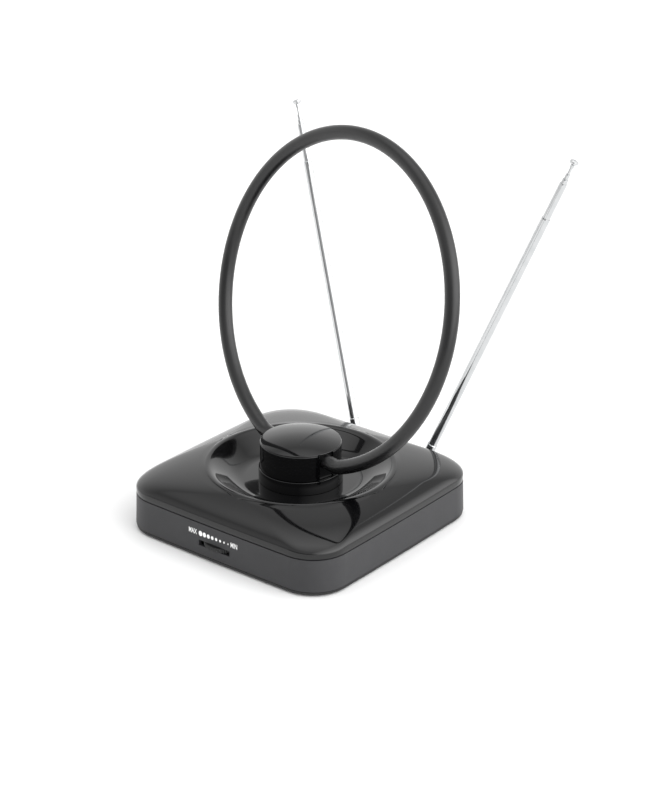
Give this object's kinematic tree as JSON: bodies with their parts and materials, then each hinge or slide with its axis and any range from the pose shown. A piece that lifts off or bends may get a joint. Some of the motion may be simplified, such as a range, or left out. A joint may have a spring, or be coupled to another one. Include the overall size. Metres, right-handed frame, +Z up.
{
  "type": "rabbit ears antenna",
  "caption": "Indoor television antenna with a tilting, turning loop and telescopic rods hinged behind a square weighted base with a gain wheel.",
  "frame": {"origin": "middle of the base, on the table that the feet stand on", "axes": "+Z up, -Y the front with the gain wheel, +Y the back with the rods and sockets, +X to the right seen from the front"},
  "size_m": [0.2217, 0.2162, 0.2438],
  "materials": {
    "shell_plastic": "fine matt texture",
    "gloss_black": "piano gloss",
    "plate_plastic": "matt",
    "rubber_black": "matt",
    "screw_steel": "zinc plated",
    "loop_black": "satin black sleeve",
    "rod_chrome": "bright chrome plate",
    "board_green": "solder mask",
    "tinplate": "bright tinplate",
    "ballast_steel": "plain",
    "nickel": "nickel plate",
    "phosphor_bronze": "bright",
    "moulded_black": "moulded"
  },
  "bodies": {
    "base": {"bottom_plate": "plate_plastic", "rubber_feet": "rubber_black", "side_shell": "shell_plastic", "case_screws": "screw_steel", "top_cover": "gloss_black", "pedestal": "gloss_black", "pedestal_screws": "screw_steel", "board_standoffs": "plate_plastic", "circuit_board": "board_green", "board_screws": "screw_steel", "shield_can": "tinplate", "gain_control": "moulded_black", "ballast_plate": "ballast_steel", "coax_outlet": "nickel", "power_jack": "moulded_black", "left_swivel_bush": "moulded_black", "right_swivel_bush": "moulded_black"},
    "gain_wheel": {"gain_wheel": "moulded_black"},
    "turret": {"turret": "gloss_black", "turret_cap": "gloss_black", "swivel_washer": "screw_steel", "retaining_washer": "screw_steel", "stem_screw": "screw_steel", "left_contact_spring": "phosphor_bronze", "right_contact_spring": "phosphor_bronze"},
    "loop": {"loop_tube": "loop_black", "left_loop_plug": "nickel", "right_loop_plug": "nickel"},
    "left_swivel": {"left_swivel_fork": "rod_chrome", "left_shaft_clip": "screw_steel", "left_spring_washer": "screw_steel", "left_pivot_screw": "nickel"},
    "left_rod": {"left_rod_knuckle": "rod_chrome", "left_rod_tube_1": "rod_chrome"},
    "left_section_2": {"left_rod_tube_2": "rod_chrome"},
    "left_section_3": {"left_rod_tube_3": "rod_chrome"},
    "left_section_4": {"left_rod_tube_4": "rod_chrome"},
    "left_tip": {"left_tip_rod": "rod_chrome", "left_tip_cap": "rod_chrome"},
    "right_swivel": {"right_swivel_fork": "rod_chrome", "right_shaft_clip": "screw_steel", "right_spring_washer": "screw_steel", "right_pivot_screw": "nickel"},
    "right_rod": {"right_rod_knuckle": "rod_chrome", "right_rod_tube_1": "rod_chrome"},
    "right_section_2": {"right_rod_tube_2": "rod_chrome"},
    "right_section_3": {"right_rod_tube_3": "rod_chrome"},
    "right_section_4": {"right_rod_tube_4": "rod_chrome"},
    "right_tip": {"right_tip_rod": "rod_chrome", "right_tip_cap": "rod_chrome"}
  },
  "joints": [
    {"name": "gain_turn", "type": "hinge", "parent": "base", "child": "gain_wheel", "pos_m": [-0.0015, -0.069, 0.011], "axis": [0, 0, 1], "range_deg": [-135, 135]},
    {"name": "turret_turn", "type": "hinge", "parent": "base", "child": "turret", "pos_m": [0, 0, 0.037], "axis": [0, 0, 1], "range_deg": [-78.5, 101.5]},
    {"name": "loop_tilt", "type": "hinge", "parent": "turret", "child": "loop", "pos_m": [0, 0, 0.048], "axis": [-0.9799, 0.1994, 0], "range_deg": [-60, 25]},
    {"name": "left_rod_swivel", "type": "hinge", "parent": "base", "child": "left_swivel", "pos_m": [-0.028, 0.094, 0.015], "axis": [0, -1, 0], "range_deg": [-21.5, 68.5]},
    {"name": "left_rod_fold", "type": "hinge", "parent": "left_swivel", "child": "left_rod", "pos_m": [-0.028, 0.094, 0.015], "axis": [0.9304, 0, 0.3665], "range_deg": [-80.7, 9.3]},
    {"name": "left_section_2_slide", "type": "slide", "parent": "left_rod", "child": "left_section_2", "axis": [-0.3617, 0.1616, 0.9182], "range_m": [-0.0225, 0.134]},
    {"name": "left_section_3_slide", "type": "slide", "parent": "left_section_2", "child": "left_section_3", "axis": [-0.3617, 0.1616, 0.9182], "range_m": [-0.001, 0.154]},
    {"name": "left_section_4_slide", "type": "slide", "parent": "left_section_3", "child": "left_section_4", "axis": [-0.3617, 0.1616, 0.9182], "range_m": [-0.0015, 0.15]},
    {"name": "left_tip_slide", "type": "slide", "parent": "left_section_4", "child": "left_tip", "axis": [-0.3617, 0.1616, 0.9182], "range_m": [-0.0043, 0.148]},
    {"name": "right_rod_swivel", "type": "hinge", "parent": "base", "child": "right_swivel", "pos_m": [0.028, 0.094, 0.015], "axis": [0, 1, 0], "range_deg": [-20.7, 69.3]},
    {"name": "right_rod_fold", "type": "hinge", "parent": "right_swivel", "child": "right_rod", "pos_m": [0.028, 0.094, 0.015], "axis": [0.9354, 0, -0.3535], "range_deg": [-80.7, 9.3]},
    {"name": "right_section_2_slide", "type": "slide", "parent": "right_rod", "child": "right_section_2", "axis": [0.3488, 0.1616, 0.9231], "range_m": [-0.0225, 0.134]},
    {"name": "right_section_3_slide", "type": "slide", "parent": "right_section_2", "child": "right_section_3", "axis": [0.3488, 0.1616, 0.9231], "range_m": [-0.001, 0.154]},
    {"name": "right_section_4_slide", "type": "slide", "parent": "right_section_3", "child": "right_section_4", "axis": [0.3488, 0.1616, 0.9231], "range_m": [-0.0015, 0.15]},
    {"name": "right_tip_slide", "type": "slide", "parent": "right_section_4", "child": "right_tip", "axis": [0.3488, 0.1616, 0.9231], "range_m": [-0.0043, 0.148]}
  ]
}
